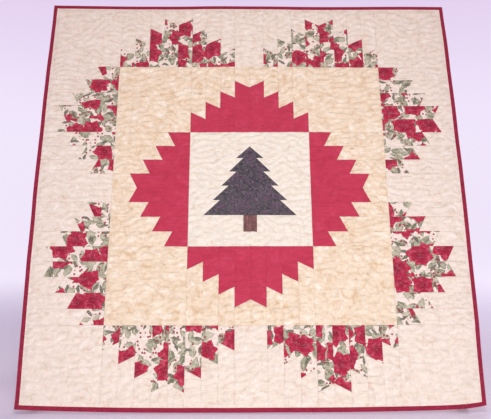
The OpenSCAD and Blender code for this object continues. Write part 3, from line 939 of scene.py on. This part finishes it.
def sleeve():
    """A flat cloth tube that hangs round the rod, sewn down along its two long edges."""
    outer = sleeve_section(SLEEVE_R, 0.0)
    inner = sleeve_section(SLEEVE_R - SLEEVE_T, SLEEVE_T)
    parts = [math.dist(a[1:], b[1:]) for a, b in zip(outer, outer[1:])]
    length = np.concatenate([[0], np.cumsum(parts)])
    section = np.array(outer + inner[::-1])
    run = np.concatenate([length, length[::-1]])
    seam = np.minimum(run, length[-1] - run)
    is_outer = np.concatenate([np.ones(len(outer)), np.zeros(len(inner))])
    along = np.linspace(-SLEEVE_HALF, SLEEVE_HALF, SLEEVE_STEPS)
    share, v, n, seam, run, is_outer = (
        np.tile(a, len(along)) for a in (*section.T, seam, run, is_outer)
    )
    u = np.repeat(along, len(section))
    # the seams lie on the backing where it really is, and the loose cloth between falls in folds
    lies = back_low_side(u, v) - REST - 0.1
    n = n + lies * (1 - share)
    below = np.clip((ROD_V - 8 - v) / 20, 0, 1) * np.clip(seam / 14, 0, 1)
    folds = np.sin(u / 23 + 1.4 * np.sin(u / 61)) + 0.6 * np.sin(u / 11 + v / 19)
    n = n - (1.2 + 0.9 * folds) * below
    hem = np.clip((np.abs(u) - (SLEEVE_HALF - 8)) / 1.2, 0, 1) * is_outer
    n = n - 0.35 * hem * np.clip(seam / 4, 0, 1)
    sides, first, last = tube_faces(len(along), len(section))
    stitch = np.minimum(np.abs(seam - 2.0), np.abs(np.abs(u) - (SLEEVE_HALF - 7)))
    values = [u, run, np.minimum(stitch, FAR), np.minimum(seam, SLEEVE_HALF - np.abs(u))]
    piece = make_solid("sleeve_cloth", u, v, n, sides + [first, last], values)
    return add_to_quilt(piece, "muslin", "hanging_sleeve")


sleeve_piece = sleeve()


# ---------------------------------------------------------------- the rack's own nodes
def wood(name, grain, side, back, colours, gloss):
    """Wood with its grain along one direction. side and back are the other two directions."""
    light, base, dark = colours
    sh = Shader(name, Specular_IOR_Level=0.4, Coat_Weight=gloss, Coat_Roughness=0.32)
    place = sh.node("ShaderNodeTexCoord").outputs["Object"]
    at = [
        sh.vector("DOT_PRODUCT", place, tuple(float(x) / MM for x in way), output="Value")
        for way in (grain, side, back)
    ]
    board = sh.joined(sh.do("MULTIPLY", at[0], 0.045), at[1], at[2])
    drift = sh.noise(sh.scaled(board, (0.6, 1, 1)), 38.0, 3.0, 0.5)
    rings = sh.do("ADD", sh.do("MULTIPLY", drift, 46.0), sh.do("MULTIPLY", at[1], 0.55))
    late = sh.do("FRACT", sh.do("MULTIPLY", rings, 0.30))
    late = sh.limit(late, 0.15, 0.95)
    streak = sh.noise(sh.scaled(board, (0.5, 1, 1)), 1.1, 4.0, 0.7)
    broad = sh.noise(board, 30.0, 2.0)
    colour = sh.mix(late, light, base)
    colour = sh.mix(sh.limit(streak, 0.5, 0.75, 0.0, 0.6), colour, dark)
    colour = sh.mix(sh.limit(broad, 0.4, 0.7, 0.0, 0.35), colour, base)
    pore = sh.noise(sh.joined(sh.do("MULTIPLY", at[0], 0.12), at[1], at[2]), 0.5, 2.0)
    pit = sh.limit(pore, 0.62, 0.72, 0.0, 0.5)
    colour = sh.mix(pit, colour, dark)
    rough = sh.limit(streak, 0.3, 0.8, 0.42, 0.56, smooth=False)
    normal = sh.bump(sh.do("SUBTRACT", sh.do("MULTIPLY", streak, 0.6), pit), 0.12)
    return sh.finish(colour, rough, normal)


def metal(name, base, painted_crease_shade, rough):
    """Plated metal with fine brushing and dull worn spots."""
    sh = Shader(name, Metallic=1.0)
    place = sh.scaled(sh.node("ShaderNodeTexCoord").outputs["Object"], (1000, 1000, 1000))
    brushed = sh.noise(sh.scaled(place, (0.2, 3, 3)), 1.0, 3.0)
    dull = sh.noise(place, 4.0, 4.0, 0.6)
    colour = sh.mix(sh.limit(dull, 0.45, 0.7), base, painted_crease_shade)
    shine = sh.do("ADD", rough, sh.do("MULTIPLY", sh.limit(dull, 0.4, 0.7), 0.22))
    return sh.finish(colour, shine, sh.bump(brushed, 0.03))


def rubber(name):
    sh = Shader(name, Specular_IOR_Level=0.35)
    place = sh.scaled(sh.node("ShaderNodeTexCoord").outputs["Object"], (1000, 1000, 1000))
    grain = sh.noise(place, 0.9, 3.0, 0.6)
    dust = sh.noise(place, 7.0, 4.0, 0.6)
    colour = sh.mix(sh.limit(dust, 0.45, 0.75, 0.0, 0.7), rgb(44, 42, 42), rgb(92, 88, 84))
    return sh.finish(colour, 0.78, sh.bump(grain, 0.12))


PINE = (rgb(222, 184, 132), rgb(200, 154, 100), rgb(160, 112, 66))
BIRCH = (rgb(228, 198, 152), rgb(212, 178, 130), rgb(178, 138, 92))
REAR_LEAN = math.radians(-13)
REAR_UP = np.array([0.0, math.sin(REAR_LEAN), math.cos(REAR_LEAN)])
REAR_OUT = np.array([0.0, -math.cos(REAR_LEAN), math.sin(REAR_LEAN)])
front_wood = wood("front_wood", UP, RIGHT, OUT, PINE, 0.15)
rear_wood = wood("rear_wood", REAR_UP, RIGHT, REAR_OUT, PINE, 0.15)
rail_wood = wood("rail_wood", RIGHT, UP, OUT, PINE, 0.15)
rod_wood = wood("dowel_wood", RIGHT, UP, OUT, BIRCH, 0.05)
brass = metal("brass", rgb(206, 178, 112), rgb(164, 132, 78), 0.28)
steel = metal("steel", rgb(190, 190, 192), rgb(146, 144, 142), 0.30)
foot_rubber = rubber("foot_rubber")
FINISHES = {
    "front_stile_left": front_wood, "front_stile_right": front_wood,
    "rear_leg_left": rear_wood, "rear_leg_right": rear_wood,
    "top_rail": rail_wood, "middle_rail": rail_wood, "bottom_rail": rail_wood,
    "rear_upper_rail": rail_wood, "rear_lower_rail": rail_wood, "hanging_rod": rod_wood,
    "front_rail_screws": brass, "rear_rail_screws": brass,
    "pivot_bolts": steel, "pivot_washers": steel, "pivot_nuts": steel,
    "front_feet": foot_rubber, "rear_feet": foot_rubber,
}
for node, finish in FINISHES.items():
    for material_slot in CAD[node].material_slots:
        material_slot.material = finish


# ---------------------------------------------------------------- stage
# metres: radius of the floor and of the cove round it, and height of the wall
FLOOR_R, COVE_R, WALL_TOP = 3.2, 1.5, 3.2
# strength of the wall's own light and of the sky's
WALL_GLOW, SKY_GLOW = 0.82, 0.26


def studio():
    """A round floor that curves up into a plain bright wall all round."""
    outline = [(r, 0.0) for r in (0.01, 0.4, 0.8, 1.2, 1.6, 2.0, 2.4, 2.8, FLOOR_R)]
    outline += [
        (FLOOR_R + COVE_R * math.sin(a), COVE_R - COVE_R * math.cos(a))
        for a in np.radians(range(6, 91, 6))
    ]
    outline += [(FLOOR_R + COVE_R, WALL_TOP)]
    around = 96
    turn = 2 * math.pi / around
    points = [
        (r * math.cos(turn * k), r * math.sin(turn * k), z)
        for r, z in outline
        for k in range(around)
    ]
    index = np.arange(len(points)).reshape(len(outline), around)
    after = np.roll(index, -1, 1)
    faces = np.stack([index[:-1], after[:-1], after[1:], index[1:]], -1).reshape(-1, 4).tolist()
    faces.append(index[0].tolist()[::-1])
    mesh = bpy.data.meshes.new("floor")
    mesh.from_pydata(points, [], faces)
    mesh.shade_smooth()
    floor = bpy.data.objects.new("floor", mesh)
    bpy.context.scene.collection.objects.link(floor)
    sh = Shader("paper", Specular_IOR_Level=0.2)
    where = sh.node("ShaderNodeTexCoord").outputs["Object"]
    cloud = sh.noise(where, 0.9, 2.0)
    paper = sh.mix(sh.limit(cloud, 0.3, 0.7), rgb(242, 232, 252), rgb(247, 239, 254))
    away = sh.limit(sh.vector("LENGTH", where, output="Value"), 1.0, 2.9)
    high = sh.limit(sh.split(where)[2], 0.9, 2.7)
    glow = sh.mix(high, rgb(246, 237, 255), rgb(230, 208, 240))
    sh.put(sh.bsdf.inputs["Emission Color"], glow)
    sh.put(sh.bsdf.inputs["Emission Strength"], sh.do("MULTIPLY", away, WALL_GLOW))
    darker = sh.mix(away, paper, rgb(120, 116, 126))
    floor.data.materials.append(sh.finish(darker, 0.9))


def add_light(name, light, place, aim_at, power, colour):
    light.energy, light.color = power, colour
    made = bpy.data.objects.new(name, light)
    bpy.context.scene.collection.objects.link(made)
    made.location = place
    made.rotation_mode = "QUATERNION"
    made.rotation_quaternion = (Vector(aim_at) - Vector(place)).to_track_quat("-Z", "Y")


def softbox(name, width, **rest):
    light = bpy.data.lights.new(name, "AREA")
    light.shape, light.size, light.size_y = "RECTANGLE", width, width
    add_light(name, light, **rest)


def spot(name, cone, radius, **rest):
    light = bpy.data.lights.new(name, "SPOT")
    light.spot_size, light.spot_blend, light.shadow_soft_size = math.radians(cone), 1.0, radius
    add_light(name, light, **rest)


studio()
MIDDLE = (0, 0, 0.5)
softbox(
    "key", width=0.7, place=(0.1, -1.4, 2.6), aim_at=MIDDLE, power=13, colour=(1.0, 0.925, 0.79)
)
spot(
    "front", cone=56, radius=0.15, place=(0.2, -2.7, 0.42), aim_at=(0.03, -0.25, 0.16),
    power=124, colour=(0.91, 1.0, 1.01),
)
softbox(
    "back", width=1.2, place=(1.3, 2.2, 2.2), aim_at=MIDDLE, power=22, colour=(0.99, 0.98, 1.0)
)
world = bpy.data.worlds.new("world")
world.use_nodes = True
world.node_tree.nodes["Background"].inputs["Color"].default_value = (0.93, 0.9, 1.0, 1.0)
world.node_tree.nodes["Background"].inputs["Strength"].default_value = SKY_GLOW
bpy.context.scene.world = world
view_settings = bpy.context.scene.view_settings
view_settings.view_transform = "Standard"
view_settings.look = "None"
